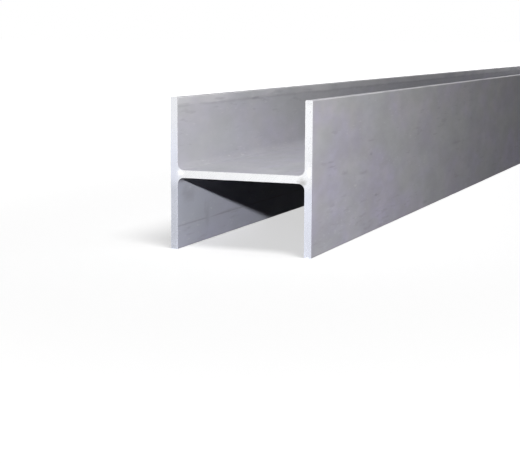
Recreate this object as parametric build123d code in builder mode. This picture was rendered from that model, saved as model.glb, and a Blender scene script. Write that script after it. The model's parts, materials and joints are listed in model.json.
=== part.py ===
from build123d import *

import os

# A length of hot-rolled steel H-section, lying as it does in a stack: web level, flanges upright.
#
# Frame: +Y runs along the beam, +Z is up, and X crosses the web from flange to flange.
# The origin is on the floor, under the middle of the beam.

# Driving dimensions, in millimetres
stock_length = 6000.0
section_depth = 300.0  # over the outer faces of the two flanges
flange_width = 305.0  # toe to toe, which is the height of the beam as it lies
flange_thickness = 15.0
web_thickness = 15.0
root_radius = 13.0  # hollow fillet where web and flange meet
toe_radius = 2.0  # rounding that the rolls leave on each corner of a flange's edge

# Worked out from the driving dimensions
trough_width = section_depth - 2 * flange_thickness
trough_height = (flange_width - web_thickness) / 2
trough_middle = trough_height / 2


def make_h_beam():
    """One solid: the H outline with its root fillets and rounded toes, extruded both ways."""
    with BuildPart() as h_beam:
        # The section stands in the XZ plane, so the sketch's Y is the beam's height
        with BuildSketch(Plane.XZ) as section:
            Rectangle(section_depth, flange_width, align=(Align.CENTER, Align.MIN))
            # Each trough is open on its outer side, and the web is what is left between them
            with Locations((0, trough_middle), (0, flange_width - trough_middle)):
                Rectangle(trough_width, trough_height, mode=Mode.SUBTRACT)
            lower_toes, web_underside, web_top, upper_toes = section.vertices().group_by(Axis.Y)
            fillet(web_underside + web_top, root_radius)
            # The root fillets make a new face, so the corners of the toes are picked from that
            levels = section.vertices().group_by(Axis.Y)
            fillet(levels[0] + levels[-1], toe_radius)
        extrude(amount=stock_length / 2, both=True)
    h_beam.part.label = "h_beam"
    return h_beam.part


os.makedirs("parts", exist_ok=True)
export_step(make_h_beam(), "parts/h_beam.step")
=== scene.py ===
# %% [markdown]
# # A length of rolled steel H-beam
#
# The real thing starts as a glowing billet. Rolls squeeze it into an H, a hot saw cuts it to length,
# and it cools under a grey skin of mill scale. So it is one piece with two finishes: the rolled skin,
# and the bare metal of the sawn ends.
#
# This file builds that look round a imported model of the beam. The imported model, called the frame, gives
# the true size and place. Everything here is in metres, +Y runs along the beam and +Z is up.

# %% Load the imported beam
import bpy
import json
import math
import numpy as np
from mathutils import Matrix, Vector


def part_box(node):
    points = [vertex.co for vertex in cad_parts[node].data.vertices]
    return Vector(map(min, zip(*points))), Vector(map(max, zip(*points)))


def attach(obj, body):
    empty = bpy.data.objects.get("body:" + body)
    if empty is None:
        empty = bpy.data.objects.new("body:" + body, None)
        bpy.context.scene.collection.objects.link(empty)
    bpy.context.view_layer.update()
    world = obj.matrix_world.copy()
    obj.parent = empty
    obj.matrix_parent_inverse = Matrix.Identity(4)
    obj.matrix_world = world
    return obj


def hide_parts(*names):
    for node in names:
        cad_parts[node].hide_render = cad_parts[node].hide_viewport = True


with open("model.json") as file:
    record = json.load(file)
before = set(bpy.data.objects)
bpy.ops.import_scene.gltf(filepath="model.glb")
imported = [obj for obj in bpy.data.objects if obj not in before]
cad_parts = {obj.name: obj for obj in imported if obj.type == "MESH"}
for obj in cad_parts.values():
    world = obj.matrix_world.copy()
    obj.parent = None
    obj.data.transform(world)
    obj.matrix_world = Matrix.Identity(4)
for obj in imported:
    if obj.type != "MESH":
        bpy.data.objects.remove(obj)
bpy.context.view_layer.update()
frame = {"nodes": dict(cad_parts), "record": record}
print("packed pieces:", sorted(frame["nodes"]))

# %% [markdown]
# ## Sizes, read off the frame
#
# A size that is typed twice will one day disagree with itself. The frame already holds the section, so
# it is measured there. The record's mounts mark the middle of each flat face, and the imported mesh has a
# vertex where each flat ends and its rounding begins.

# %% Overall sizes and wall thicknesses
low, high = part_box("h_beam")
length = high.y - low.y
middle_height = (low.z + high.z) / 2
mount_place = {m["name"]: Vector(m["pos_m"]) for m in frame["record"]["mounts"]}
web_upper = mount_place["web_upper_face"].z
web_lower = mount_place["web_lower_face"].z
flange_thickness = 2 * (high.x - mount_place["toe_right_lower"].x)
flange_inner = high.x - flange_thickness
print(f"length {length:.3f} m, web {web_upper - web_lower:.4f} m, flange {flange_thickness:.4f} m")

# %% Radii of the roundings
SAME_LEVEL = 1e-5  # two heights closer than this are one height


def flat_edge(level):
    """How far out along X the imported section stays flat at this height, inside the right flange's toe."""
    places = [v.co for v in frame["nodes"]["h_beam"].data.vertices]
    on_level = [p.x for p in places if abs(p.z - level) < SAME_LEVEL]
    return max(on_level)


root_radius = flange_inner - flat_edge(web_upper)
toe_radius = high.x - flat_edge(high.z)
print(f"root fillet {root_radius:.4f} m, toe rounding {toe_radius:.4f} m")

# %% [markdown]
# ## Helpers for node trees
#
# Geometry Nodes and shader nodes are both trees of boxes and links. In a script, one helper adds a box
# and fills its sockets. A socket takes either a plain value or another box's output, so the code reads
# like the flow of the tree. A second helper starts an empty tree with named inputs and outputs, and a
# third says how far a tree has grown.

# %% Helpers for node trees


def add(tree, kind, inputs=None, **settings):
    """Adds a node. settings are its own options, and inputs maps sockets to values or other sockets."""
    node = tree.nodes.new(kind)
    for name, value in settings.items():
        setattr(node, name, value)
    for socket, value in (inputs or {}).items():
        if isinstance(value, bpy.types.NodeSocket):
            tree.links.new(value, node.inputs[socket])
        else:
            node.inputs[socket].default_value = value
    return node


def new_tree(name, kind, inputs, outputs):
    """An empty node group with named inputs and outputs. Each is (name, socket type, default or None)."""
    tree = bpy.data.node_groups.new(name, kind)
    for in_out, sockets in (("INPUT", inputs), ("OUTPUT", outputs)):
        for socket_name, socket_type, default in sockets:
            socket = tree.interface.new_socket(name=socket_name, in_out=in_out, socket_type=socket_type)
            if default is not None:
                socket.default_value = default
    start = tree.nodes.new("NodeGroupInput")
    end = tree.nodes.new("NodeGroupOutput")
    return tree, start.outputs, end.inputs


def tell(tree, step):
    """Says what a step has made and how far its tree has grown."""
    print(f"{step}: {tree.name} has {len(tree.nodes)} nodes")


print("helpers:", ", ".join(helper.__name__ for helper in (add, new_tree, tell)))

# %% [markdown]
# Sums are boxes as well, and a big tree is mostly sums. A helper for each kind lets the script read like
# arithmetic: steps on numbers, products, steps on places and directions, and the way from a place to
# its three numbers and back.

# %% Helpers for arithmetic


def calc(tree, operation, *values, clamp=False):
    """One step of arithmetic on numbers or sockets."""
    node = add(tree, "ShaderNodeMath", dict(enumerate(values)), operation=operation, use_clamp=clamp)
    return node.outputs[0]


def product(tree, first, *others):
    """All the values multiplied with each other."""
    for other in others:
        first = calc(tree, "MULTIPLY", first, other)
    return first


def on_vectors(tree, operation, *values, output="Vector"):
    """One step of arithmetic on places or directions. A DISTANCE or a LENGTH has the output Value."""
    node = add(tree, "ShaderNodeVectorMath", dict(enumerate(values)), operation=operation)
    return node.outputs[output]


def split_xyz(tree, vector):
    """The three numbers of a place or direction, under their names X, Y and Z."""
    return add(tree, "ShaderNodeSeparateXYZ", {"Vector": vector}).outputs


def join_xyz(tree, **numbers):
    """A place or direction from its X, Y and Z. A number that isn't given is 0."""
    return add(tree, "ShaderNodeCombineXYZ", numbers).outputs["Vector"]


print("helpers:", ", ".join(helper.__name__ for helper in (calc, product, on_vectors, split_xyz, join_xyz)))

# %% [markdown]
# ## The section's outline
#
# The H could be drawn with all its curves point by point. It is far simpler to give twelve sharp
# corners and the radius that each one gets, and let Geometry Nodes round them. A corner is (across, up,
# radius).
#
# Each straight run also gets a point just past its rounding. Smooth shading blends the light over a
# whole face, and those extra points keep the blend of a 2 mm corner from spreading over the flat beside
# it. One more point, a corner with no radius, stands on the left flange, where the saw left a splinter
# of steel.

# %% Corners of the section
right_top = [
    (high.x, high.z, toe_radius),
    (flange_inner, high.z, toe_radius),
    (flange_inner, web_upper, root_radius),
]
right_bottom = [
    (flange_inner, web_lower, root_radius),
    (flange_inner, low.z, toe_radius),
    (high.x, low.z, toe_radius),
]


def mirrored(corners):
    """The same corners on the left, walked the other way so that the loop keeps its direction."""
    return [(-across, up, radius) for across, up, radius in reversed(corners)]


SPLINTER_HEIGHT = 0.197  # above the floor
splinter_point = (low.x, SPLINTER_HEIGHT, 0)
corners = right_top + mirrored(right_top) + [splinter_point] + mirrored(right_bottom) + right_bottom

# The loop starts at the lower right corner, so that the seam where it closes is near the floor
corners = corners[-1:] + corners[:-1]
print(len(corners), "corners")

# %% [markdown]
# Every corner is followed by two guard points, one at each end of the straight run that leaves it. A
# loop places them, so the list above stays as short as the section is simple.

# %% Points of the outline, with a guard on both sides of each corner
GUARD = 0.0012  # how far past a rounding its guard point stands


def guarded(corners):
    """Each corner, followed by the two guard points of the straight run that leaves it."""
    points = []
    for (x, z, radius), (next_x, next_z, next_radius) in zip(corners, corners[1:] + corners[:1]):
        start, end = Vector((x, z)), Vector((next_x, next_z))
        way = (end - start).normalized()
        points.append((start, radius))
        points.append((start + way * (radius + GUARD), 0))
        points.append((end - way * (next_radius + GUARD), 0))
    return points


outline = guarded(corners)
print(len(outline), "outline points")

# %% [markdown]
# Geometry Nodes can't read a Python list, but they can read a mesh. The outline becomes a mesh of loose
# edges, and each corner's radius goes with it as a named attribute.

# %% The outline as a ring of edges
ring = bpy.data.meshes.new("section_outline")
ring.from_pydata(
    [(place.x, place.y, 0) for place, radius in outline],
    [(i, (i + 1) % len(outline)) for i in range(len(outline))],
    [],
)
ring.attributes.new("corner_radius", "FLOAT", "POINT").data.foreach_set(
    "value", [radius for place, radius in outline]
)
outline_object = bpy.data.objects.new("section_outline", ring)
bpy.context.scene.collection.objects.link(outline_object)
print(len(ring.edges), "edges close the ring")

# %% [markdown]
# ## Rolling the beam with Geometry Nodes
#
# A rolled bar is one outline carried along a line, and that is exactly what Curve to Mesh does. A plain
# extrusion would look like plastic, though. Hot rolling leaves the flats a fraction of a millimetre
# wavy, the toes wander a little and the flanges lean. The hot saw turns up a thin ragged lip, the burr,
# round the cut. So the tree sweeps first and then nudges the vertices. All of that stays below a
# millimetre.
#
# The tree's inputs are real sizes in metres with names, so any of them can be changed later in the
# modifier.

# %% The tree and its inputs
FLOAT, INTEGER, GEOMETRY = "NodeSocketFloat", "NodeSocketInt", "NodeSocketGeometry"
roll, given, rolled = new_tree(
    "rolled_section",
    "GeometryNodeTree",
    [
        ("Outline", GEOMETRY, None),
        ("Length", FLOAT, 6.0),
        ("Ring Pitch", FLOAT, 0.05),
        ("Outline Pitch", FLOAT, 0.005),
        ("Corner Steps", INTEGER, 5),
        ("Middle Height", FLOAT, 0.15),
        ("Half Width", FLOAT, 0.15),
        ("Wave Height", FLOAT, 0.0003),
        ("Wave Size", FLOAT, 0.35),
        ("Toe Wander", FLOAT, 0.0004),
        ("Flange Lean", FLOAT, 0.0006),
        ("Burr", FLOAT, 0.0009),
        ("Burr Size", FLOAT, 0.012),
        ("Splinter", FLOAT, 0.002),
        ("Splinter Place", "NodeSocketVector", None),
        ("Seed", INTEGER, 7),
        ("Rolled Skin", "NodeSocketMaterial", None),
        ("Sawn End", "NodeSocketMaterial", None),
    ],
    [("Beam", GEOMETRY, None)],
)
print("inputs:", ", ".join(socket_name for socket_name in given.keys() if socket_name))

# %% [markdown]
# ### Rounding the outline
#
# The rolls leave a hollow fillet at each root and a small round on each toe. Fillet Curve reads a
# radius at each point, so one node makes them all.

# %% Round the corners
loop = add(roll, "GeometryNodeMeshToCurve", {"Mesh": given["Outline"]})
corner_radius = add(roll, "GeometryNodeInputNamedAttribute", {"Name": "corner_radius"}, data_type="FLOAT")
rounded = add(
    roll,
    "GeometryNodeFilletCurve",
    {
        "Curve": loop.outputs["Curve"],
        "Count": given["Corner Steps"],
        "Radius": corner_radius.outputs["Attribute"],
    },
    mode="POLY",
)
tell(roll, "corners rounded")

# %% [markdown]
# A flat with points at its two ends alone can't be wavy, so each straight run is divided. The number of
# cuts is the distance to the next point over the wanted pitch, which gives long runs many points and
# leaves the roundings alone. The way round the outline is then stored on the points, because a map of
# the surface and some of its marks follow it.

# %% Divide the flats and measure the way round
place = add(roll, "GeometryNodeInputPosition").outputs["Position"]
index = add(roll, "GeometryNodeInputIndex").outputs["Index"]
next_point = add(roll, "GeometryNodeOffsetPointInCurve", {"Point Index": index, "Offset": 1})
next_place = add(
    roll,
    "GeometryNodeFieldAtIndex",
    {"Value": place, "Index": next_point.outputs["Point Index"]},
    data_type="FLOAT_VECTOR",
    domain="POINT",
)
run = on_vectors(roll, "DISTANCE", place, next_place.outputs["Value"], output="Value")
cuts = calc(roll, "FLOOR", calc(roll, "DIVIDE", run, given["Outline Pitch"]))
divided = add(roll, "GeometryNodeSubdivideCurve", {"Curve": rounded.outputs["Curve"], "Cuts": cuts})
round_the_outline = add(roll, "GeometryNodeSplineParameter").outputs["Length"]
measured = add(
    roll,
    "GeometryNodeStoreNamedAttribute",
    {"Geometry": divided.outputs["Curve"], "Name": "round_the_outline", "Value": round_the_outline},
    data_type="FLOAT",
    domain="POINT",
)
tell(roll, "flats divided")

# %% [markdown]
# ### The line that the outline runs along
#
# Even rings would waste detail in the middle and lack it at the cuts. The rings near an end are pulled
# towards it: a ring at distance d from the cut moves to d times the square of d over the crowded
# stretch.

# %% A straight line with its rings crowded at both ends
CROWDED_RINGS = 6.0  # how many rings at each end are drawn together
half_length = product(roll, given["Length"], 0.5)
line = add(
    roll,
    "GeometryNodeCurvePrimitiveLine",
    {"Start": join_xyz(roll, Z=product(roll, half_length, -1.0)), "End": join_xyz(roll, Z=half_length)},
)
rings = add(
    roll,
    "GeometryNodeResampleCurve",
    {
        "Curve": line.outputs["Curve"],
        "Count": calc(roll, "ADD", calc(roll, "DIVIDE", given["Length"], given["Ring Pitch"]), 1.0),
    },
    mode="COUNT",
)
along = split_xyz(roll, place)["Z"]
to_cut = calc(roll, "SUBTRACT", half_length, calc(roll, "ABSOLUTE", along))
crowded = product(roll, given["Ring Pitch"], CROWDED_RINGS)
share = calc(roll, "MINIMUM", calc(roll, "DIVIDE", to_cut, crowded), 1.0)
pulled = product(roll, share, share, to_cut)
new_along = product(roll, calc(roll, "SIGN", along), calc(roll, "SUBTRACT", half_length, pulled))
path = add(
    roll,
    "GeometryNodeSetPosition",
    {"Geometry": rings.outputs["Curve"], "Position": join_xyz(roll, Z=new_along)},
)
tell(roll, "rings placed")

# %% [markdown]
# ### The sweep
#
# Curve to Mesh carries the outline along the line and caps both ends. The caps have vertices of their
# own, and Merge by Distance joins them to the sides, so that the beam is one closed skin. The line
# stood upright, and a quarter turn lays the bar down.

# %% Sweep the outline along the line and lay the bar down
SAME_PLACE = 1e-6  # vertices closer than this become one
swept = add(
    roll,
    "GeometryNodeCurveToMesh",
    {
        "Curve": path.outputs["Geometry"],
        "Profile Curve": measured.outputs["Geometry"],
        "Fill Caps": True,
    },
)
joined = add(
    roll,
    "GeometryNodeMergeByDistance",
    {"Geometry": swept.outputs["Mesh"], "Distance": SAME_PLACE},
)
laid = add(
    roll,
    "GeometryNodeTransform",
    {"Geometry": joined.outputs["Geometry"], "Rotation": (math.pi / 2, 0, 0)},
)
tell(roll, "bar swept")

# %% [markdown]
# ### What rolling and sawing do to the true shape
#
# A Noise Texture gives a smooth random number at each place. Stretched or squeezed, and taken along one
# direction only, the same node makes all the small faults: waves over the flats, toes that wander,
# flanges that lean. Each is a push with a direction, and the pushes add up.

# %% A helper for random pushes


def wander(tree, where, size, seed, detail=1.0):
    """A smooth random value from -1 to 1 that changes over this size, in metres."""
    shifted = on_vectors(tree, "ADD", where, seed)
    noise = add(
        tree,
        "ShaderNodeTexNoise",
        {"Vector": shifted, "Scale": calc(tree, "DIVIDE", 1.0, size), "Detail": detail},
    )
    return calc(tree, "MULTIPLY_ADD", noise.outputs["Fac"], 2.0, -1.0)


def pushed(tree, where, direction, distance):
    """The place after a push along this direction."""
    return on_vectors(tree, "MULTIPLY_ADD", direction, distance, where)


print("helpers:", wander.__name__, "and", pushed.__name__)

# %% [markdown]
# Most pushes depend on where in the section a vertex lies, so that is worked out once: on which side of
# the beam, above or below the web, and how far from the web, from 0 in its middle to 1 at a toe.

# %% Where in the section a vertex lies
SEED_STRIDE = 13.7  # two seeds are this far apart in the noise
where = split_xyz(roll, place)
seed = product(roll, given["Seed"], SEED_STRIDE)
side = calc(roll, "SIGN", where["X"])
above_middle = calc(roll, "SUBTRACT", where["Z"], given["Middle Height"])
up_or_down = calc(roll, "SIGN", above_middle)
from_web = calc(roll, "DIVIDE", calc(roll, "ABSOLUTE", above_middle), given["Half Width"])
tell(roll, "section measured")

# %% Waves over the flats, pushed along the surface normal
outward = add(roll, "GeometryNodeInputNormal").outputs["Normal"]
wave = wander(roll, place, given["Wave Size"], seed, detail=2.0)
wave_push = product(roll, wave, given["Wave Height"])
tell(roll, "waves")

# %% [markdown]
# A flange is stiff where the web holds it and free at its tip, so it leans more the further out it is.
# A power of the height does that: the square bends the whole flange softly, and a high power moves the
# toe alone.

# %% Flanges that lean and toes that wander, each flange tip by itself
TIP_SIZE = 0.8  # over this length, in metres, a flange tip changes its mind
SIDE_STRIDE, LEVEL_STRIDE = 5.0, 9.0  # keep the four tips apart in the noise
LEAN_POWER, TOE_POWER = 2.0, 12.0  # powers of the height
tip_side = product(roll, side, SIDE_STRIDE)
tip_level = product(roll, up_or_down, LEVEL_STRIDE)
each_tip = join_xyz(roll, X=tip_side, Y=where["Y"], Z=tip_level)
whole_flange = calc(roll, "POWER", from_web, LEAN_POWER)
lean = product(roll, wander(roll, each_tip, TIP_SIZE, seed), given["Flange Lean"], whole_flange)
tip_only = calc(roll, "POWER", calc(roll, "MINIMUM", from_web, 1.0), TOE_POWER)
uneven = wander(roll, each_tip, TIP_SIZE / 2, seed, detail=3.0)
toe = product(roll, uneven, given["Toe Wander"], tip_only)
tip_push = join_xyz(roll, X=lean, Z=toe)
tell(roll, "flanges lean")

# %% [markdown]
# The burr belongs to the cut's own edge, so it is pushed out only where a vertex lies on the cut. The
# outward direction there is the normal with its part along the beam taken away. The saw leaves more
# burr on the side where its teeth come out, here the left.

# %% The ragged lip round each cut
ON_THE_CUT = 0.0002  # a vertex this near the end lies on the cut
POINTS_LEFT = -0.1  # a direction with less X than this points left
ACROSS_THE_BAR = (1.0, 0.0, 1.0)  # keeps X and Z of a direction
BURR_SHARE, EXTRA_ON_EXIT_SIDE = 0.6, 1.6
past_cut = calc(roll, "SUBTRACT", half_length, calc(roll, "ABSOLUTE", where["Y"]))
on_cut = calc(roll, "LESS_THAN", past_cut, ON_THE_CUT)
sideways = on_vectors(roll, "NORMALIZE", on_vectors(roll, "MULTIPLY", outward, ACROSS_THE_BAR))
left_side = calc(roll, "LESS_THAN", split_xyz(roll, sideways)["X"], POINTS_LEFT)
more_on_exit = calc(roll, "MULTIPLY_ADD", left_side, EXTRA_ON_EXIT_SIDE, BURR_SHARE)
ragged = calc(roll, "MAXIMUM", wander(roll, place, given["Burr Size"], seed, detail=4.0), 0.0)
burr = product(roll, more_on_exit, ragged, on_cut, given["Burr"])
tell(roll, "burr")

# %% [markdown]
# One tooth tore out more than a burr: a splinter of steel stands on the left flange of the front cut.
# It is the single vertex that the outline kept for it, pulled out by two millimetres.

# %% The splinter
SPLINTER_LEAN = (-1.0, 0.0, 0.4)  # it points out of the left flange and a little up
from_splinter = on_vectors(roll, "DISTANCE", place, given["Splinter Place"], output="Value")
is_splinter = calc(roll, "LESS_THAN", from_splinter, GUARD / 2)
splinter = product(roll, is_splinter, given["Splinter"])
tell(roll, "splinter")

# %% [markdown]
# Now the pushes add up, one after the other. The beam rests on its lower toes, so a last step lifts
# whatever a push took below the floor back to it.

# %% Add up the pushes, but never below the floor
NO_LIMIT = -100.0  # far below any coordinate of the beam
EACH_AXIS = (1.0, 1.0, 1.0)
moved = pushed(roll, place, outward, wave_push)
moved = pushed(roll, moved, EACH_AXIS, tip_push)
moved = pushed(roll, moved, sideways, burr)
moved = pushed(roll, moved, SPLINTER_LEAN, splinter)
still_above = on_vectors(roll, "MAXIMUM", moved, (NO_LIMIT, NO_LIMIT, low.z))
shaped = add(
    roll,
    "GeometryNodeSetPosition",
    {"Geometry": laid.outputs["Geometry"], "Position": still_above},
)
tell(roll, "pushes added")

# %% [markdown]
# ### Two finishes on one mesh
#
# The two cut faces are the only faces that look along the beam. That picks them out for their own
# material and for flat shading, which also keeps the edge of the cut crisp.

# %% Shading, materials and the tree's end
LOOKS_ALONG = 0.9  # a face whose normal has more Y than this looks along the beam
facing = split_xyz(roll, outward)["Y"]
is_end = calc(roll, "GREATER_THAN", calc(roll, "ABSOLUTE", facing), LOOKS_ALONG)
smooth = add(
    roll,
    "GeometryNodeSetShadeSmooth",
    {"Geometry": shaped.outputs["Geometry"], "Shade Smooth": calc(roll, "SUBTRACT", 1.0, is_end)},
    domain="FACE",
)
real = add(roll, "GeometryNodeRealizeInstances", {"Geometry": smooth.outputs["Geometry"]})
skinned = add(
    roll,
    "GeometryNodeSetMaterial",
    {"Geometry": real.outputs["Geometry"], "Material": given["Rolled Skin"]},
)
finished = add(
    roll,
    "GeometryNodeSetMaterial",
    {
        "Geometry": skinned.outputs["Geometry"],
        "Selection": is_end,
        "Material": given["Sawn End"],
    },
)
roll.links.new(finished.outputs["Geometry"], rolled["Beam"])
tell(roll, "tree finished")

# %% [markdown]
# ## From the tree to a plain mesh
#
# A modifier's inputs are stored under each socket's identifier, not its name, so a small lookup finds
# it. The evaluated result is then copied into a plain mesh, because everything later wants real
# vertices.

# %% Set the inputs and take the finished mesh
rolled_skin = bpy.data.materials.new("rolled_skin")
sawn_end = bpy.data.materials.new("sawn_end")
rolling = outline_object.modifiers.new("rolling", "NODES")
rolling.node_group = roll


def set_input(name, value):
    """Sets one named input of the rolling modifier."""
    socket = roll.interface.items_tree[name]
    rolling[socket.identifier] = value


set_input("Length", length)
set_input("Middle Height", middle_height)
set_input("Half Width", (high.z - low.z) / 2)
set_input("Splinter Place", (low.x, low.y, SPLINTER_HEIGHT))
set_input("Rolled Skin", rolled_skin)
set_input("Sawn End", sawn_end)
evaluated = outline_object.evaluated_get(bpy.context.evaluated_depsgraph_get())
beam_mesh = bpy.data.meshes.new_from_object(evaluated)
beam_mesh.name = "rolled_h_beam"
bpy.data.objects.remove(outline_object)
beam = bpy.data.objects.new("rolled_h_beam", beam_mesh)
bpy.context.scene.collection.objects.link(beam)
print(len(beam_mesh.vertices), "vertices,", len(beam_mesh.polygons), "faces")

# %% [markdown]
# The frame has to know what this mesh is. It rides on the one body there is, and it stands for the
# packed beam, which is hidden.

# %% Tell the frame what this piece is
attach(beam, "root")
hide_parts("h_beam")
print(beam.name, "rides on root and stands for h_beam")

# %% [markdown]
# ## Unrolling the beam for a texture map
#
# The materials below are made of patterns in space, so they need no map. A game engine does, because
# there the finish becomes an image. An automatic map would squeeze six metres into one side of that
# image and leave the cut faces a few pixels each. The beam unrolls like a paper tube, so a better map
# is simple: the distance round the outline goes up the image and the length goes across it, cut into
# strips that lie above each other. Each cut face gets a generous rectangle of its own on top.

# %% Lay out the map
STRIPS = 2  # the length is cut into this many strips
STRIP_GAP_SHARE = 0.006  # empty part of the image between two strips
ENDS_SHARE = 0.2  # part of the image's height that the two cut faces share
DECIMALS = 6  # places round the outline are compared to a millionth of a metre
SAWN_SLOT = 1  # where the sawn end stands in the mesh's list of materials


def unrolled(mesh):
    """The map's place for each face corner, as an array of (across, up) from 0 to 1."""
    corner_count = len(mesh.loops)
    vertex = np.empty(corner_count, int)
    mesh.loops.foreach_get("vertex_index", vertex)
    places = np.empty(len(mesh.vertices) * 3)
    mesh.vertices.foreach_get("co", places)
    places = places.reshape(-1, 3)
    around = np.empty(len(mesh.vertices))
    mesh.attributes["round_the_outline"].data.foreach_get("value", around)
    step = np.diff(np.unique(np.round(around, DECIMALS))).max()
    perimeter = around.max() + step
    corner_total = np.empty(len(mesh.polygons), int)
    mesh.polygons.foreach_get("loop_total", corner_total)
    slot = np.empty(len(mesh.polygons), int)
    mesh.polygons.foreach_get("material_index", slot)
    face = np.repeat(np.arange(len(mesh.polygons)), corner_total)
    first = np.concatenate([[0], np.cumsum(corner_total)[:-1]])

    # A face that closes the loop has corners at both ends of the outline
    up = around[vertex]
    widest = np.maximum.reduceat(up, first)[face]
    up = np.where(widest - up > perimeter / 2, up + perimeter, up)

    along = (places[vertex, 1] - low.y) / length
    middle = (np.add.reduceat(along, first) / corner_total)[face]
    strip = np.floor(middle * STRIPS).clip(0, STRIPS - 1)
    strip_height = (1 - ENDS_SHARE) / STRIPS
    across = along * STRIPS - strip
    up = up / perimeter * (strip_height - STRIP_GAP_SHARE) + strip * strip_height

    # The cut faces lie side by side above the strips
    is_cut = (slot == SAWN_SLOT)[face]
    is_back = places[vertex, 1] > 0
    cut_across = (places[vertex, 0] - low.x) / (high.x - low.x)
    cut_up = (places[vertex, 2] - low.z) / (high.z - low.z)
    room = 1 - 2 * STRIP_GAP_SHARE
    cut_across = (STRIP_GAP_SHARE + cut_across * room + is_back) / 2
    cut_up = 1 - ENDS_SHARE + (STRIP_GAP_SHARE + cut_up * room) * ENDS_SHARE
    return np.stack([np.where(is_cut, cut_across, across), np.where(is_cut, cut_up, up)], 1)


layout = unrolled(beam_mesh)
beam_mesh.uv_layers.new(name="OFBake").uv.foreach_set("vector", layout.ravel())
print("map fills", layout.min(0).round(3), "to", layout.max(0).round(3))

# %% [markdown]
# ## Effects that both finishes share
#
# Steel that left the same mill has the same kinds of marks on its skin and on its cuts: cloudy tones,
# lines drawn by a tool, scattered smudges and pits. Each kind is a node group, built once. A material
# places it with its own sizes. All sizes are in metres, and a size can differ along X, Y and Z, because
# rolling stretches every mark along the bar.
#
# Two helpers serve all of them. One measures the place in marks of a given size. The other turns a
# smooth value into a mask with a soft edge.

# %% Helpers for the effects
VECTOR = "NodeSocketVector"
SEED_SHIFT = (17.3, 5.1, 9.7)  # one step of the seed, in marks


def sized(tree, where, size, seed):
    """The place measured in marks of this size, shifted by a seed so that two uses differ."""
    shift = on_vectors(tree, "MULTIPLY", SEED_SHIFT, seed)
    return on_vectors(tree, "ADD", on_vectors(tree, "DIVIDE", where, size), shift)


def step_up(tree, value, start, end):
    """0 below start, 1 above end and a soft step between them."""
    return add(
        tree,
        "ShaderNodeMapRange",
        {"Value": value, "From Min": start, "From Max": end},
        interpolation_type="SMOOTHSTEP",
    ).outputs["Result"]


print("helpers:", sized.__name__, "and", step_up.__name__)

# %% [markdown]
# Clouds first. A Noise Texture with three levels of detail already looks like the tone of weathered
# steel. It spends most of its values near the middle, so the step spreads those from 0 to 1.

# %% Cloudy tones
CLOUD_FROM, CLOUD_TO = 0.32, 0.68  # the noise seldom leaves this range
cloudy, given, made = new_tree(
    "cloudy_tone",
    "ShaderNodeTree",
    [("Place", VECTOR, None), ("Size", VECTOR, (0.1, 0.1, 0.1)), ("Seed", FLOAT, 0.0)],
    [("Tone", FLOAT, None)],
)
noise = add(
    cloudy,
    "ShaderNodeTexNoise",
    {
        "Vector": sized(cloudy, given["Place"], given["Size"], given["Seed"]),
        "Scale": 1.0,
        "Detail": 3.0,
        "Roughness": 0.5,
    },
)
cloudy.links.new(step_up(cloudy, noise.outputs["Fac"], CLOUD_FROM, CLOUD_TO), made["Tone"])
tell(cloudy, "clouds")

# %% [markdown]
# A roll or a saw draws fine lines. Noise that is squeezed to the pitch across the lines, and stretched
# to their run along them, gives lines that begin and end like real ones. A Wave Texture would give
# perfect stripes.

# %% Lines drawn by a tool, such as a roll or a saw
drawn, given, made = new_tree(
    "drawn_lines",
    "ShaderNodeTree",
    [
        ("Across", FLOAT, 0.0),
        ("Along", FLOAT, 0.0),
        ("Pitch", FLOAT, 0.002),
        ("Run", FLOAT, 0.3),
        ("Seed", FLOAT, 0.0),
    ],
    [("Line", FLOAT, None)],
)
pitches = calc(drawn, "DIVIDE", given["Across"], given["Pitch"])
runs = calc(drawn, "DIVIDE", given["Along"], given["Run"])
noise = add(
    drawn,
    "ShaderNodeTexNoise",
    {
        "Vector": join_xyz(drawn, X=pitches, Y=runs, Z=given["Seed"]),
        "Scale": 1.0,
        "Detail": 2.0,
        "Roughness": 0.6,
    },
)
drawn.links.new(noise.outputs["Fac"], made["Line"])
tell(drawn, "lines")

# %% [markdown]
# Smudges are rare, so only the peaks of a noise count. How high a peak must be is the rarity. A second
# noise, many marks wide, lowers that level here and there, so the smudges come in loose groups, as dirt
# does.

# %% Scattered smudges, which come in loose groups
GROUP_FROM, GROUP_TO = 0.42, 0.66  # range of the wide noise
GROUP_HELP = 0.09  # how far a group lowers the level
SMUDGE_EDGE = 0.1  # softness of a smudge's edge
smudges, given, made = new_tree(
    "scattered_smudges",
    "ShaderNodeTree",
    [
        ("Place", VECTOR, None),
        ("Size", VECTOR, (0.01, 0.01, 0.01)),
        ("Rarity", FLOAT, 0.62),
        ("Group Size", FLOAT, 12.0),
        ("Seed", FLOAT, 0.0),
    ],
    [("Mask", FLOAT, None)],
)
near = sized(smudges, given["Place"], given["Size"], given["Seed"])
single = add(
    smudges,
    "ShaderNodeTexNoise",
    {"Vector": near, "Scale": 1.0, "Detail": 2.0, "Roughness": 0.6},
)
group = add(
    smudges,
    "ShaderNodeTexNoise",
    {"Vector": near, "Scale": calc(smudges, "DIVIDE", 1.0, given["Group Size"]), "Detail": 1.0},
)
crowd = product(smudges, step_up(smudges, group.outputs["Fac"], GROUP_FROM, GROUP_TO), GROUP_HELP)
level = calc(smudges, "SUBTRACT", given["Rarity"], crowd)
over = calc(smudges, "SUBTRACT", single.outputs["Fac"], level)
smudges.links.new(step_up(smudges, over, 0.0, SMUDGE_EDGE), made["Mask"])
tell(smudges, "smudges")

# %% [markdown]
# Pits have a clear round edge, which noise can't give. A Voronoi Texture divides space into cells and
# tells how far a point is from its cell's middle, so a small distance is a round pit. Each cell's
# random colour decides whether it holds a pit, and how wide that is.

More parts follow.
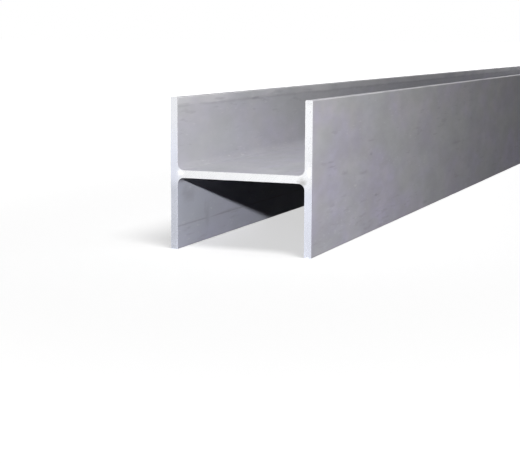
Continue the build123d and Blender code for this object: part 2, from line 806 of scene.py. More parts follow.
# %% Pits and specks
PIT_EDGE = 0.06  # softness of a pit's edge, as a share of the spacing
NARROWEST = 0.2  # the smallest pit is this share of the widest
pits, given, made = new_tree(
    "pits_and_specks",
    "ShaderNodeTree",
    [
        ("Place", VECTOR, None),
        ("Spacing", VECTOR, (0.02, 0.02, 0.02)),
        ("Width Share", FLOAT, 0.2),
        ("Part Filled", FLOAT, 0.3),
        ("Seed", FLOAT, 0.0),
    ],
    [("Mask", FLOAT, None)],
)
cells = add(
    pits,
    "ShaderNodeTexVoronoi",
    {"Vector": sized(pits, given["Place"], given["Spacing"], given["Seed"]), "Scale": 1.0},
)
chance = add(pits, "ShaderNodeSeparateColor", {"Color": cells.outputs["Color"]}).outputs
width_share = calc(pits, "MULTIPLY_ADD", chance["Green"], 1.0 - NARROWEST, NARROWEST)
width = product(pits, given["Width Share"], width_share)
inside = step_up(pits, calc(pits, "SUBTRACT", width, cells.outputs["Distance"]), 0.0, PIT_EDGE)
filled = calc(pits, "LESS_THAN", chance["Red"], given["Part Filled"])
pits.links.new(product(pits, inside, filled), made["Mask"])
tell(pits, "pits")

# %% [markdown]
# The last effect puts one mark at a chosen place. The distance from its centre, measured in its reach,
# makes an oval, and noise added to that distance makes the edge ragged.

# %% One mark at a chosen place, with a ragged edge
RAGGEDNESS = 1.3
RAGS_PER_REACH = 1.7
MARK_FROM, MARK_TO = 0.7, 1.4  # ragged distances between which a mark fades out
placed, given, made = new_tree(
    "placed_mark",
    "ShaderNodeTree",
    [("Place", VECTOR, None), ("Centre", VECTOR, None), ("Reach", VECTOR, (0.01, 0.01, 0.01))],
    [("Mask", FLOAT, None)],
)
offset = on_vectors(placed, "SUBTRACT", given["Place"], given["Centre"])
in_reaches = on_vectors(placed, "DIVIDE", offset, given["Reach"])
radius = on_vectors(placed, "LENGTH", in_reaches, output="Value")
noise = add(
    placed,
    "ShaderNodeTexNoise",
    {
        "Vector": on_vectors(placed, "ADD", in_reaches, given["Centre"]),
        "Scale": RAGS_PER_REACH,
        "Detail": 4.0,
        "Roughness": 0.6,
    },
)
ragged_radius = calc(placed, "MULTIPLY_ADD", noise.outputs["Fac"], RAGGEDNESS, radius)
faded = step_up(placed, ragged_radius, MARK_FROM, MARK_TO)
placed.links.new(calc(placed, "SUBTRACT", 1.0, faded), made["Mask"])
tell(placed, "placed marks")

# %% [markdown]
# ## Painting in layers
#
# Both materials are painted like a model: a base colour first, then one thin layer over another, each
# with a mask that says where it lies. Four helpers keep that readable. One places a group, one lays a
# colour over what is there, one adds up the heights of all layers for a Bump node, and one makes a mask
# of all that is nearer than a limit.

# %% Helpers for the two materials
MIX_AMOUNT, MIX_BASE, MIX_LAYER, MIX_RESULT = 0, 6, 7, 2  # sockets of a Mix node that is set to colours


def use(tree, group, inputs):
    """Places a shader node group with its own values and returns its first output."""
    return add(tree, "ShaderNodeGroup", inputs, node_tree=group).outputs[0]


def tint(tree, base, colour, *masks):
    """Lays a colour over a base where all the masks are up. A colour is (red, green, blue) or a socket."""
    base, colour = ((*c, 1) if isinstance(c, tuple) else c for c in (base, colour))
    inputs = {MIX_AMOUNT: product(tree, *masks), MIX_BASE: base, MIX_LAYER: colour}
    return add(tree, "ShaderNodeMix", inputs, data_type="RGBA").outputs[MIX_RESULT]


def relief(tree, layers):
    """A Bump node fed with the sum of (mask, height in metres) layers."""
    total = 0.0
    for mask, height in layers:
        total = calc(tree, "MULTIPLY_ADD", mask, height, total)
    bump = add(tree, "ShaderNodeBump", {"Height": total, "Strength": 1.0, "Distance": 1.0})
    return bump.outputs["Normal"]


def closer_than(tree, value, limit, softness):
    """1 where the value is under the limit, fading to 0 over the softness past it."""
    return calc(tree, "SUBTRACT", 1.0, step_up(tree, value, limit, limit + softness))


print("helpers:", ", ".join(helper.__name__ for helper in (use, tint, relief, closer_than)))

# %% [markdown]
# ## The rolled skin
#
# Mill scale is a thin hard oxide, grey and nearly matt. One flat grey would look like paint. Real scale
# has soft patches, some leaning to violet and some to green, because its thickness varies. Three
# colours are therefore mixed, each by noise of its own size. All three have about the same lightness,
# so the eye takes them for one steel under one light. The violet also grows towards the bottom of the
# beam, and that part is a painted cool shade.

# %% Soft patches of the rolled skin
PLAIN_SCALE = (0.438, 0.425, 0.430)
VIOLET_SCALE = (0.410, 0.387, 0.505)
GREENISH_SCALE = (0.392, 0.412, 0.405)
PATCH_PART, BAND_PART, LOW_SHADE_PART = 0.45, 0.3, 0.45  # what patches, bands and height add to the violet
GREENISH_STRENGTH = 0.6

rolled_skin.use_nodes = True
skin = rolled_skin.node_tree
place = add(skin, "ShaderNodeTexCoord").outputs["Object"]
part = split_xyz(skin, place)
down_share = calc(skin, "DIVIDE", calc(skin, "SUBTRACT", high.z, part["Z"]), high.z - low.z)
patches = use(skin, cloudy, {"Place": place, "Size": (0.06, 0.14, 0.06), "Seed": 1.0})
bands = use(skin, cloudy, {"Place": place, "Size": (0.5, 0.10, 0.5), "Seed": 2.0})
violet = calc(skin, "MULTIPLY_ADD", bands, BAND_PART, product(skin, patches, PATCH_PART))
# Painted cool shade: the violet grows towards the bottom of the beam
violet = calc(skin, "MULTIPLY_ADD", down_share, LOW_SHADE_PART, violet, clamp=True)
greenish = use(skin, cloudy, {"Place": place, "Size": (0.10, 0.22, 0.10), "Seed": 21.0})
colour = tint(skin, PLAIN_SCALE, VIOLET_SCALE, violet)
colour = tint(skin, colour, GREENISH_SCALE, greenish, GREENISH_STRENGTH)
tell(skin, "soft patches")

# %% [markdown]
# Handling and weather darken the scale a little, in blotches that run from the size of a coin to more
# than half a metre. The same group does them all, in a loop, and each size gets its own strength.

# %% Dark blotches of three sizes
DULLED_SCALE = (0.31, 0.308, 0.325)
BLOTCHES = (  # size across the bar, size along it, strength
    (0.30, 0.70, 0.25),
    (0.050, 0.11, 0.42),
    (0.018, 0.050, 0.24),
)
for number, (across, along, strength) in enumerate(BLOTCHES):
    blotch = use(skin, cloudy, {"Place": place, "Size": (across, along, across), "Seed": 3.0 + number})
    colour = tint(skin, colour, DULLED_SCALE, blotch, strength)
tell(skin, f"{len(BLOTCHES)} sizes of blotch")

# %% [markdown]
# ### Where on the section a point lies
#
# Some marks belong to one part of the section, such as the toes or the roots. A mask needs to know
# where the point is. The object coordinate gives its height, and the surface normal says which way the
# face looks. In a rounding, the normal is between upright and level, so the product of the two parts
# peaks there.

# %% Masks for the parts of the section
OUTER_FROM, OUTER_TO = 0.2, 0.8  # how far a face must look outwards to count as an outer one
TURN_GAIN = 2.0  # lifts the peak of the product, which is a half, to 1
normal = add(skin, "ShaderNodeNewGeometry").outputs["Normal"]
facing = split_xyz(skin, normal)
upright = calc(skin, "ABSOLUTE", facing["X"])
level = calc(skin, "ABSOLUTE", facing["Z"])
turning = product(skin, upright, level, TURN_GAIN)
outwards = product(skin, facing["X"], calc(skin, "SIGN", part["X"]))
facing_in = calc(skin, "SUBTRACT", 1.0, step_up(skin, outwards, OUTER_FROM, OUTER_TO))
inner_face = product(skin, upright, facing_in)
above_middle = calc(skin, "SUBTRACT", part["Z"], middle_height)
to_toe = calc(skin, "SUBTRACT", (high.z - low.z) / 2, calc(skin, "ABSOLUTE", above_middle))
in_upper_half = calc(skin, "GREATER_THAN", above_middle, 0.0)
in_lower_half = calc(skin, "SUBTRACT", 1.0, in_upper_half)
around = add(skin, "ShaderNodeAttribute", attribute_name="round_the_outline").outputs["Fac"]
tell(skin, "masks")

# %% [markdown]
# The faces inside the troughs are painted a little paler, and that is painted light, for the brighter
# light the troughs get. The lower trough is painted bluer and darker, as a painted cool shade. The
# roots are painted darker, as painted shade in the hollow where the web meets each flange.

# %% Painted light in the troughs, painted shade in the lower trough and in the roots
PAINTED_TROUGH_LIGHT = (0.510, 0.520, 0.560)
PAINTED_LOW_TROUGH_SHADE = (0.305, 0.325, 0.415)
ROOT_SHADE = (0.27, 0.27, 0.29)
TROUGH_LIGHT_STRENGTH, LOW_TROUGH_SHADE_STRENGTH, ROOT_STRENGTH = 0.2, 0.45, 0.45
ROOTS_FROM, ROOTS_TO = 0.02, 0.05  # distance from a toe past which a rounding is a root
# Painted light: the inward-facing faces a little paler
colour = tint(skin, colour, PAINTED_TROUGH_LIGHT, facing_in, TROUGH_LIGHT_STRENGTH)
lower_trough = product(skin, facing_in, in_lower_half)
# Painted cool shade: the lower trough bluer and darker
colour = tint(skin, colour, PAINTED_LOW_TROUGH_SHADE, lower_trough, LOW_TROUGH_SHADE_STRENGTH)
in_root = product(skin, turning, step_up(skin, to_toe, ROOTS_FROM, ROOTS_TO))
# Painted shade in the root fillets, where the web meets each flange
colour = tint(skin, colour, ROOT_SHADE, in_root, ROOT_STRENGTH)
tell(skin, "troughs and roots")

# %% [markdown]
# ### What the edging rolls leave
#
# A second pair of rolls squeezes the toes. Inside each flange they leave a paler band along the upper
# toe, and where the band stops, a soft dark seam. In the lower trough a thinner seam runs higher up the
# flange. Rolls run the whole bar, but scale hides their marks here and there, so noise breaks each seam
# into lengths.

# %% The paler band along the upper toes
EDGED_SCALE = (0.53, 0.525, 0.54)
BAND_WIDTH = 0.0165  # from the upper toe
BAND_SOFTNESS = 0.003
BAND_STRENGTH = 0.75
fading = use(skin, cloudy, {"Place": place, "Size": (0.3, 0.25, 0.3), "Seed": 13.0})
near_toe = closer_than(skin, to_toe, BAND_WIDTH - BAND_SOFTNESS / 2, BAND_SOFTNESS)
toe_band = product(skin, near_toe, inner_face, in_upper_half, fading)
colour = tint(skin, colour, EDGED_SCALE, toe_band, BAND_STRENGTH)
tell(skin, "edging band")

# %% The seams
DARK_SMUDGE = (0.24, 0.24, 0.26)
SEAM_HALF_WIDTH = 0.0004
SEAMS = (  # its half of the beam, distance from the toe, softness, strength
    (in_upper_half, 0.0175, 0.006, 0.28),
    (in_lower_half, 0.0465, 0.002, 0.50),
)
SEAM_BREAKS = (0.34, 0.54)  # noise values between which a seam fades in
seam = 0.0
for half, from_toe, softness, strength in SEAMS:
    off_seam = calc(skin, "ABSOLUTE", calc(skin, "SUBTRACT", to_toe, from_toe))
    on_seam = product(skin, closer_than(skin, off_seam, SEAM_HALF_WIDTH, softness), half, strength)
    seam = calc(skin, "MAXIMUM", seam, on_seam)
broken = use(
    skin,
    drawn,
    {"Across": around, "Along": part["Y"], "Pitch": 0.01, "Run": 0.09, "Seed": 12.0},
)
seam = product(skin, seam, step_up(skin, broken, *SEAM_BREAKS))
colour = tint(skin, colour, DARK_SMUDGE, seam, inner_face)
tell(skin, f"{len(SEAMS)} seams")

# %% [markdown]
# ### Smudges, scuffs and pits
#
# Close up, the skin has short dark smudges drawn out along the bar, and pale scuffs where something
# scraped past. Faces that look up also catch dirt. A few pits are left where the rolls pressed loose
# scale in and it fell out again.

# %% Smudges, scuffs and dirt
RUBBED_STEEL_AND_HIGHLIGHT = (0.52, 0.515, 0.53)
SMUDGE_STRENGTH, SCUFF_STRENGTH, DIRT_STRENGTH = 0.25, 0.45, 0.2
dark = use(skin, smudges, {"Place": place, "Size": (0.010, 0.080, 0.010), "Rarity": 0.66, "Seed": 4.0})
scuffs = use(skin, smudges, {"Place": place, "Size": (0.004, 0.022, 0.004), "Rarity": 0.70, "Seed": 5.0})
dirt = use(skin, smudges, {"Place": place, "Size": (0.012, 0.030, 0.012), "Rarity": 0.60, "Seed": 15.0})
facing_up = calc(skin, "MAXIMUM", facing["Z"], 0.0)
caught_dirt = product(skin, dirt, facing_up)
colour = tint(skin, colour, DARK_SMUDGE, dark, SMUDGE_STRENGTH)
colour = tint(skin, colour, RUBBED_STEEL_AND_HIGHLIGHT, scuffs, SCUFF_STRENGTH)
colour = tint(skin, colour, DARK_SMUDGE, caught_dirt, DIRT_STRENGTH)
tell(skin, "smudges, scuffs and dirt")

# %% Pits
PIT_COLOUR = (0.16, 0.155, 0.16)
PIT_STRENGTH = 0.6
pit = use(
    skin,
    pits,
    {"Place": place, "Spacing": (0.03, 0.06, 0.03), "Width Share": 0.08, "Part Filled": 0.2, "Seed": 6.0},
)
colour = tint(skin, colour, PIT_COLOUR, pit, PIT_STRENGTH)
tell(skin, "pits")

# %% [markdown]
# Noise puts marks anywhere, and so it can't repeat the few that this beam really has. Those are listed
# one by one: smears and spots on the outer face, stains high inside the left flange, darker patches low
# inside it by the front cut, and small bare spots. Each mark's third reach, straight through the steel,
# is one centimetre, and that keeps it on its own face.

# %% Marks that this beam has
OUTER_FACE, INNER_LEFT = high.x, -flange_inner
DARK_MARKS = (  # middle, reach along the beam, reach up, strength
    ((OUTER_FACE, -2.89, 0.178), 0.040, 0.004, 0.45),
    ((OUTER_FACE, -2.88, 0.168), 0.045, 0.004, 0.45),
    ((OUTER_FACE, -2.80, 0.148), 0.045, 0.010, 0.40),
    ((OUTER_FACE, -2.67, 0.137), 0.070, 0.008, 0.40),
    ((OUTER_FACE, -2.62, 0.203), 0.050, 0.005, 0.35),
    ((OUTER_FACE, -2.62, 0.173), 0.022, 0.007, 0.55),
    ((OUTER_FACE, -2.58, 0.079), 0.020, 0.006, 0.60),
    ((OUTER_FACE, -2.16, 0.015), 0.040, 0.010, 0.50),
    ((OUTER_FACE, -1.84, 0.143), 0.130, 0.008, 0.40),
    ((INNER_LEFT, -2.79, 0.294), 0.050, 0.006, 0.40),
    ((INNER_LEFT, -2.60, 0.287), 0.070, 0.006, 0.45),
    # These two rows darken patches low inside the left flange, below the web by the front cut
    ((INNER_LEFT, -2.95, 0.105), 0.060, 0.038, 0.38),
    ((INNER_LEFT, -2.86, 0.050), 0.025, 0.060, 0.30),
)
BARE_SPOTS = (
    ((OUTER_FACE, -2.73, 0.115), 0.020, 0.005, 0.50),
    ((-0.115, -2.674, web_upper), 0.030, 0.010, 0.45),
    ((-0.109, -2.617, web_upper), 0.030, 0.010, 0.45),
)
ONE_FACE = 0.01  # reach through the steel
for spots, spot_colour in ((DARK_MARKS, DARK_SMUDGE), (BARE_SPOTS, RUBBED_STEEL_AND_HIGHLIGHT)):
    for middle, along, up, strength in spots:
        mark = use(skin, placed, {"Place": place, "Centre": middle, "Reach": (ONE_FACE, along, up)})
        colour = tint(skin, colour, spot_colour, mark, strength)
tell(skin, f"{len(DARK_MARKS)} stains and {len(BARE_SPOTS)} bare spots")

# %% [markdown]
# Chains, forks and the ground touch the toes first, so the scale is thinnest on their corners. The
# same corners are painted brighter, and that is also a painted highlight along the rounded toes. The
# mask is the rounding near a toe, and clouds make the wear and the highlight come and go.

# %% Corners of the toes, rubbed bright and with a painted highlight
LEAST_RUBBED, MOST_RUBBED = 0.15, 0.90
CORNER_REACH = 1.5  # in toe roundings, from the toe
patchy = use(skin, cloudy, {"Place": place, "Size": (0.02, 0.06, 0.02), "Seed": 7.0})
by_the_toe = closer_than(skin, to_toe, toe_radius * CORNER_REACH, toe_radius)
how_much = calc(skin, "MULTIPLY_ADD", patchy, MOST_RUBBED - LEAST_RUBBED, LEAST_RUBBED)
rubbed_and_highlit = product(skin, turning, by_the_toe, how_much)
# Worn steel and a painted highlight on the rounded toes
colour = tint(skin, colour, RUBBED_STEEL_AND_HIGHLIGHT, rubbed_and_highlit)
tell(skin, "rubbed corners")

# %% [markdown]
# ### Sheen and relief
#
# Roughness decides how wide a highlight spreads. Scale is nearly matt, and steel that shows through it
# is smoother. An oxide isn't a metal to light, so only the rubbed corners are partly metallic.

# %% Roughness and metal of the rolled skin
SCALE_ROUGHNESS = 0.54
METAL_WHERE_RUBBED = 0.25
lines = use(skin, drawn, {"Across": around, "Along": part["Y"], "Pitch": 0.0022, "Run": 0.4})
ROUGHER = (  # mask, how much rougher
    (violet, 0.08),
    (lines, 0.12),
    (rubbed_and_highlit, -0.16),
)
rough = SCALE_ROUGHNESS
for mask, change in ROUGHER:
    rough = calc(skin, "MULTIPLY_ADD", mask, change, rough)
metal = product(skin, rubbed_and_highlit, METAL_WHERE_RUBBED)
tell(skin, "sheen")

# %% [markdown]
# A Bump node turns heights in metres into tilted normals, so each effect also leaves its own relief:
# fine lines from the rolls, a sandy grain, soft swells, and smudges and pits that go down.

# %% Relief of the rolled skin
GRAINS_PER_METRE = 900.0
grain = add(
    skin,
    "ShaderNodeTexNoise",
    {"Vector": place, "Scale": GRAINS_PER_METRE, "Detail": 3.0, "Roughness": 0.6},
).outputs["Fac"]
SKIN_RELIEF = (  # mask, height
    (lines, 0.00006),
    (grain, 0.00003),
    (dark, -0.00003),
    (pit, -0.0003),
    (patches, 0.00015),
)
normal = relief(skin, SKIN_RELIEF)
tell(skin, "relief")

# %% [markdown]
# The Principled BSDF takes the results. Its specular level is the same everywhere, so it is set on the
# socket itself. It is low, because the pores of the scale swallow most of the mirror-like light.

# %% Connect the rolled skin


def finish_material(tree, specular, results):
    """Links the painted results to the material's Principled BSDF."""
    shader = tree.nodes["Principled BSDF"]
    shader.inputs["Specular IOR Level"].default_value = specular
    for socket, value in results.items():
        tree.links.new(value, shader.inputs[socket])


SCALE_SPECULAR = 0.07
finish_material(
    skin,
    SCALE_SPECULAR,
    {"Base Color": colour, "Roughness": rough, "Metallic": metal, "Normal": normal},
)
tell(skin, "rolled skin finished")

# %% [markdown]
# ## The sawn ends
#
# A hot saw with a large round blade leaves the cut bright, with faint arcs that share the blade's
# centre, so the pattern is drawn over the distance from that centre. The cut is bare metal, so most of
# its brightness is the pale room seen in it. It is smooth enough to look about equally bright from
# every side.
#
# A Wave Texture in ring mode could draw arcs too, but all alike. The drawn lines are ragged, and two
# pitches together look like a toothed blade: fine scratches, and wider steps where the feed was uneven.

# %% Saw arcs
BLADE_CENTRE = (-0.75, 0.0, 0.75)  # of the saw, seen in the beam's own frame
sawn_end.use_nodes = True
cut = sawn_end.node_tree
place = add(cut, "ShaderNodeTexCoord").outputs["Object"]
part = split_xyz(cut, place)
flat = join_xyz(cut, X=part["X"], Z=part["Z"])
from_blade = on_vectors(cut, "DISTANCE", flat, BLADE_CENTRE, output="Value")
ARC_LINES = (  # pitch, run, seed
    (0.0018, 0.2, 3.0),
    (0.009, 0.5, 8.0),
)
arcs, wide_arcs = (
    use(cut, drawn, {"Across": from_blade, "Along": part["Z"], "Pitch": pitch, "Run": run, "Seed": seed})
    for pitch, run, seed in ARC_LINES
)
tell(cut, "saw arcs")

# %% [markdown]
# The web is the brightest part. The blade went in on the right and came out on the left. The rest of
# the cut is painted with shade that stands in for uneven light across it: a painted cool shade on the
# left, which grows downwards, and on all that is below the web. Both flanges are painted duller than
# the web, the right one to take back the extra light that the key lamp gives it, and the left one
# most, low down. Four masks hold those places.

# %% The left and right flanges, and how far down a point is
LOWER_FROM, LOWER_TO = 0.50, 0.62  # shares of the height, from the top
down_share = calc(cut, "DIVIDE", calc(cut, "SUBTRACT", high.z, part["Z"]), high.z - low.z)
lower = step_up(cut, down_share, LOWER_FROM, LOWER_TO)
left_side = step_up(cut, part["X"], low.x + 2 * flange_thickness, low.x + flange_thickness / 2)
right_side = step_up(cut, part["X"], high.x - 2 * flange_thickness, high.x - flange_thickness / 2)
lower_left = product(cut, lower, left_side)
tell(cut, "places on the cut")

# %% [markdown]
# The masks now tint the bright metal, first with the painted cool shade and then with a dull grey. In
# the grey, the first four rows are painted shade, and the saw arcs and the clouds are the metal's own
# tone. A list holds each mask with its strength, so the balance of the whole cut can be read in one
# place.

# %% Painted cool shade and dulled metal
BRIGHT_CUT = (0.74, 0.743, 0.750)
PAINTED_COOL_SHADE = (0.695, 0.715, 0.805)
DULL_CUT = (0.415, 0.430, 0.480)
COOL_SHADE_FROM, COOL_SHADE_TO = 0.05, 0.40  # shares of the height, from the top
painted_cool_shade_left = product(cut, left_side, step_up(cut, down_share, COOL_SHADE_FROM, COOL_SHADE_TO))
painted_cool_shade = calc(cut, "MAXIMUM", painted_cool_shade_left, lower)
# Painted cool shade on the left, growing downwards, and below the web
colour = tint(cut, BRIGHT_CUT, PAINTED_COOL_SHADE, painted_cool_shade)
tone = use(cut, cloudy, {"Place": place, "Size": (0.04, 0.04, 0.04), "Seed": 9.0})
# The first four rows are painted shade, and the arcs and the clouds are real tone
DULLED = (  # mask, strength
    (lower, 0.06),
    (right_side, 0.22),
    (left_side, 0.26),
    (lower_left, 0.34),
    (wide_arcs, 0.12),
    (arcs, 0.08),
    (tone, 0.08),
)
dull = 0.0
for mask, strength in DULLED:
    dull = calc(cut, "MULTIPLY_ADD", mask, strength, dull, clamp=True)
colour = tint(cut, colour, DULL_CUT, dull)
tell(cut, "blued and dulled metal")

# %% [markdown]
# Fingers and dust leave small smudges, and the blade leaves a nick here and there. Both come from the
# same groups as on the skin, with smaller sizes.

# %% Smudges and nicks on the cut
CUT_SMUDGE = (0.32, 0.315, 0.31)
MARK_STRENGTH, NICK_STRENGTH = 0.35, 0.6
NICK_SPACING = 0.012
marks = use(cut, smudges, {"Place": place, "Size": (0.004, 0.004, 0.004), "Rarity": 0.68, "Seed": 10.0})
colour = tint(cut, colour, CUT_SMUDGE, marks, MARK_STRENGTH)
nicks = use(
    cut,
    pits,
    {
        "Place": place,
        "Spacing": (NICK_SPACING, NICK_SPACING, NICK_SPACING),
        "Width Share": 0.12,
        "Part Filled": 0.25,
        "Seed": 11.0,
    },
)
colour = tint(cut, colour, CUT_SMUDGE, nicks, NICK_STRENGTH)
tell(cut, "smudges and nicks")

# %% [markdown]
# The front cut also has marks of its own, listed one by one: grey where the web meets the right flange
# and at that flange's top, a painted highlight at the left root, and clean bright metal beside the grey
# one. Their depth of one centimetre keeps them off the back cut.

# %% Marks of the front cut alone
CLEAN_CUT_AND_HIGHLIGHT = (0.90, 0.90, 0.93)
FRONT_MARKS = (  # across, up, reach across, reach up, colour, strength
    (0.130, 0.147, 0.018, 0.014, CUT_SMUDGE, 0.70),
    (0.143, 0.300, 0.014, 0.014, CUT_SMUDGE, 0.18),
    # The next row is a painted highlight at the left root
    (-0.129, 0.155, 0.014, 0.013, CLEAN_CUT_AND_HIGHLIGHT, 0.80),
    (0.143, 0.168, 0.012, 0.030, CLEAN_CUT_AND_HIGHLIGHT, 0.45),
)
for across, up, reach_across, reach_up, mark_colour, strength in FRONT_MARKS:
    centre = (across, low.y, up)
    mark = use(cut, placed, {"Place": place, "Centre": centre, "Reach": (reach_across, ONE_FACE, reach_up)})
    colour = tint(cut, colour, mark_colour, mark, strength)
tell(cut, f"{len(FRONT_MARKS)} marks on the front cut")

# %% [markdown]
# The cut is bare, so it is nearly all metal. It is smooth between the arcs and a little rougher on
# them, and its relief is much finer than the thickness of a sheet of paper.

# %% Roughness, metal and relief of the sawn ends
CUT_ROUGHNESS, ROUGHER_ON_ARCS = 0.21, 0.12
CUT_METAL, LESS_ON_MARKS = 0.85, -0.2
CUT_SPECULAR = 0.3
rough = calc(cut, "MULTIPLY_ADD", arcs, ROUGHER_ON_ARCS, CUT_ROUGHNESS)
metal = calc(cut, "MULTIPLY_ADD", marks, LESS_ON_MARKS, CUT_METAL)
CUT_RELIEF = (  # mask, height
    (arcs, 0.00005),
    (wide_arcs, 0.00020),
    (nicks, -0.0002),
)
normal = relief(cut, CUT_RELIEF)
finish_material(
    cut,
    CUT_SPECULAR,
    {"Base Color": colour, "Roughness": rough, "Metallic": metal, "Normal": normal},
)
tell(cut, "sawn ends finished")

# %% [markdown]
# ## The studio floor
#
# The floor is one big square. It should look white out to the horizon and yet throw little light back
# on the beam. Light Path tells the material which kind of ray has hit it. A ray that shows the floor
# itself, straight to the camera or by way of polished metal, meets pale paint with a glow on top. Every
# other ray meets dark paint. The glow is weaker near the beam, so that the beam's soft shadow stays
# visible.

# %% A floor to stand on
FLOOR_REACH = 150.0  # from the middle to each side
floor_mesh = bpy.data.meshes.new("studio_floor")
floor_mesh.from_pydata(
    [(x * FLOOR_REACH, y * FLOOR_REACH, 0) for x, y in ((-1, -1), (1, -1), (1, 1), (-1, 1))],
    [],
    [(0, 1, 2, 3)],
)
floor = bpy.data.objects.new("studio_floor", floor_mesh)
bpy.context.scene.collection.objects.link(floor)
floor_paint = bpy.data.materials.new("floor_paint")
floor_mesh.materials.append(floor_paint)
floor_paint.use_nodes = True
paint = floor_paint.node_tree
paint.nodes.clear()
print("floor:", 2 * FLOOR_REACH, "m square")

# %% [markdown]
# The glow needs the distance from the beam. Beside the beam that is the distance across it. Past an end
# it is measured from the end, so the glow's border is a long rounded shape and not a circle.

# %% How far a spot of floor is from the beam
NEAR_BEAM, FAR_FROM_BEAM = 0.5, 3.0  # the glow grows between these distances
spot = split_xyz(paint, add(paint, "ShaderNodeTexCoord").outputs["Object"])
past_end = calc(paint, "SUBTRACT", calc(paint, "ABSOLUTE", spot["Y"]), length / 2)
past_end = calc(paint, "MAXIMUM", past_end, 0.0)
away = on_vectors(paint, "LENGTH", join_xyz(paint, X=spot["X"], Y=past_end), output="Value")
tell(paint, "distance from the beam")

# %% Which rays show the background


def seen_directly(tree):
    """1 for rays that show the background itself: straight to the camera, in metal and in glass."""
    rays = add(tree, "ShaderNodeLightPath").outputs
    glossy = calc(tree, "MAXIMUM", rays["Is Glossy Ray"], rays["Is Transmission Ray"])
    return calc(tree, "MAXIMUM", rays["Is Camera Ray"], glossy)


direct = seen_directly(paint)
tell(paint, "rays sorted")

# %% Floor paint
FLOOR_GLOW_NEAR, FLOOR_GLOW_FAR = 0.62, 1.0
FLOOR_SHOWN, FLOOR_BOUNCE = 0.75, 0.2
glow = add(
    paint,
    "ShaderNodeMapRange",
    {
        "Value": away,
        "From Min": NEAR_BEAM,
        "From Max": FAR_FROM_BEAM,
        "To Min": FLOOR_GLOW_NEAR,
        "To Max": FLOOR_GLOW_FAR,
    },
    interpolation_type="SMOOTHSTEP",
).outputs["Result"]
grey = calc(paint, "MULTIPLY_ADD", direct, FLOOR_SHOWN - FLOOR_BOUNCE, FLOOR_BOUNCE)
tone = add(paint, "ShaderNodeCombineColor", {0: grey, 1: grey, 2: grey})
matte = add(paint, "ShaderNodeBsdfDiffuse", {"Color": tone.outputs[0]})
light = add(paint, "ShaderNodeEmission", {"Strength": product(paint, glow, direct)})
both = add(paint, "ShaderNodeAddShader", {0: matte.outputs[0], 1: light.outputs[0]})
add(paint, "ShaderNodeOutputMaterial", {"Surface": both.outputs[0]})
tell(paint, "floor paint")

# %% [markdown]
# The air behind the floor works the same way. It is white to look at, and as a light it is dim, because
# the lamps below are to shape the beam and light from all round would flatten it.

# %% The air round the beam
AMBIENT = 0.04
world = bpy.data.worlds.new("studio_air")
bpy.context.scene.world = world
world.use_nodes = True
sky = world.node_tree
direct = seen_directly(sky)
strength = calc(sky, "MULTIPLY_ADD", direct, 1.0 - AMBIENT, AMBIENT)
sky.links.new(strength, sky.nodes["Background"].inputs["Strength"])
sky.nodes["Background"].inputs["Color"].default_value = (1, 1, 1, 1)
print("background is white, and lights the beam at", AMBIENT)

# %% [markdown]
# ## Lamps
#
# Each end gets three lamps. A small key lamp draws the web's shadow in the lower trough with a crisp
# edge, a large overhead lamp fills the upper trough, and a weak one lights the flange beside it. The
# middle of the beam has softboxes of its own. The floor needs a separate light, or the keys would draw
# hard shadows all over it. Light linking allows that: each lamp names what it may reach.

# %% Helpers for lamps
WIDEST = 180  # the spread, in degrees, of a lamp that shines to all sides in front of it


def light_only(lamp, thing):
    """The lamp reaches this object alone. Everything still throws its shadow there."""
    reached = bpy.data.collections.new(lamp.name + "_reaches")
    reached.objects.link(thing)
    lamp.light_linking.receiver_collection = reached


def softbox(name, place, target, size, power, spread=WIDEST):
    """A rectangular lamp that looks at a point and reaches the beam alone. The spread is in degrees."""
    lamp = bpy.data.lights.new(name, "AREA")
    lamp.shape = "RECTANGLE"
    lamp.size, lamp.size_y = size
    lamp.energy = power
    lamp.spread = math.radians(spread)
    holder = bpy.data.objects.new(name, lamp)
    holder.location = place
    holder.rotation_euler = (Vector(target) - Vector(place)).to_track_quat("-Z", "Y").to_euler()
    holder.visible_camera = False
    bpy.context.scene.collection.objects.link(holder)
    light_only(holder, beam)
    print(f"{name}: {power} W, {size[0]} by {size[1]} m")


# %% [markdown]
# The lamps are listed for the front end, with places measured from the floor under that end's middle.
# The back end gets the same three, turned by half a circle, so the beam looks alike from both ends.

# %% Lamps at each end
END_LAMPS = (  # name, place, target, size, watts
    ("key", (0.72, -1.8, 0.67), (0, 0, 0.15), (0.045, 0.045), 86),
    ("overhead", (0.4, -0.1, 2.0), (0, 0.3, 0), (1.6, 1.6), 20.3),
    ("side", (1.35, 0.25, 0.25), (0, 0.25, 0.15), (0.6, 0.3), 2.85),
)
for end, half_turns in (("front", 0), ("back", 1)):
    to_end = Matrix.Rotation(math.pi * half_turns, 4, "Z") @ Matrix.Translation((0, low.y, 0))
    for name, place, target, size, power in END_LAMPS:
        softbox(f"{end}_{name}", to_end @ Vector(place), to_end @ Vector(target), size, power)

# %% [markdown]
# Two long softboxes stand beside the beam. They are low, so that they light the outer faces of the
# flanges and hardly reach over them into the upper trough, which should stay a little darker. One
# softbox hangs above.

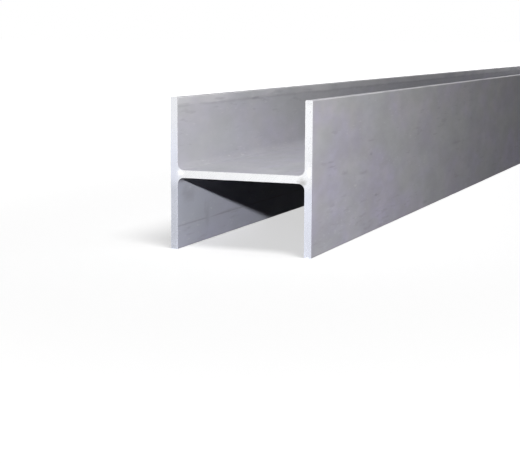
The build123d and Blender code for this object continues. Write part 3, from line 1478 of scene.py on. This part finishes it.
# %% Softboxes beside and above the beam
MIDDLE_LAMPS = (  # name, place, target, size, watts, spread
    ("right_wall", (2.5, 1.6, 0.35), (0.15, 1.6, 0.15), (2.6, 0.5), 8.5, 60),
    ("left_wall", (-2.5, -0.3, 0.35), (-0.15, -0.3, 0.15), (4.5, 0.5), 50, WIDEST),
    ("ceiling", (0, 0.5, 2.6), (0, 0.5, 0), (1.0, 3.0), 13, 90),
)
for settings in MIDDLE_LAMPS:
    softbox(*settings)

# %% [markdown]
# A sun with a wide disc gives the floor an even light and the beam a soft shadow on it.

# %% A soft sun for the floor
SUN_DIRECTION = Vector((-0.45, 0.35, -1.0))
SUN_STRENGTH = 1.55
SUN_WIDTH = math.radians(25)
sun = bpy.data.lights.new("floor_sun", "SUN")
sun.energy = SUN_STRENGTH
sun.angle = SUN_WIDTH
holder = bpy.data.objects.new("floor_sun", sun)
holder.rotation_euler = SUN_DIRECTION.to_track_quat("-Z", "Y").to_euler()
bpy.context.scene.collection.objects.link(holder)
light_only(holder, floor)
print("lamps:", sorted(lamp.name for lamp in bpy.data.lights))

# %% [markdown]
# ## Camera
#
# The photograph's camera was found by fitting the beam's known edges to their places in the picture:
# where it stood, where it looked and how far it was zoomed in. Blender wants the zoom as a lens in
# millimetres, which follows from the focal length in pixels and the width of the sensor.

# %% Camera
FRAME_WIDTH_PX = 520
FOCAL_PX = 1279.0  # the photograph's focal length in its own pixels
CAMERA_FROM_END = Vector((0.978, -2.292, 0.420))  # from the floor under the front end's middle
HEADING, TILT, ROLL = math.radians(-22.19), math.radians(-8.59), math.radians(0.31)
camera_data = bpy.data.cameras.new("camera")
camera_data.lens = FOCAL_PX / FRAME_WIDTH_PX * camera_data.sensor_width
camera = bpy.data.objects.new("camera", camera_data)
camera.matrix_world = (
    Matrix.Translation(Vector((0, low.y, 0)) + CAMERA_FROM_END)
    @ Matrix.Rotation(-HEADING, 4, "Z")
    @ Matrix.Rotation(math.pi / 2 + TILT, 4, "X")
    @ Matrix.Rotation(ROLL, 4, "Z")
)
bpy.context.scene.collection.objects.link(camera)
bpy.context.scene.camera = camera
print(f"lens {camera_data.lens:.1f} mm")

# %% [markdown]
# Blender can bend colours to look like film. A part that is judged by its true colours is better
# without, and the Standard view shows a colour about as it is written.

# %% Plain colours on the screen
bpy.context.scene.view_settings.view_transform = "Standard"
print("view:", bpy.context.scene.view_settings.view_transform)
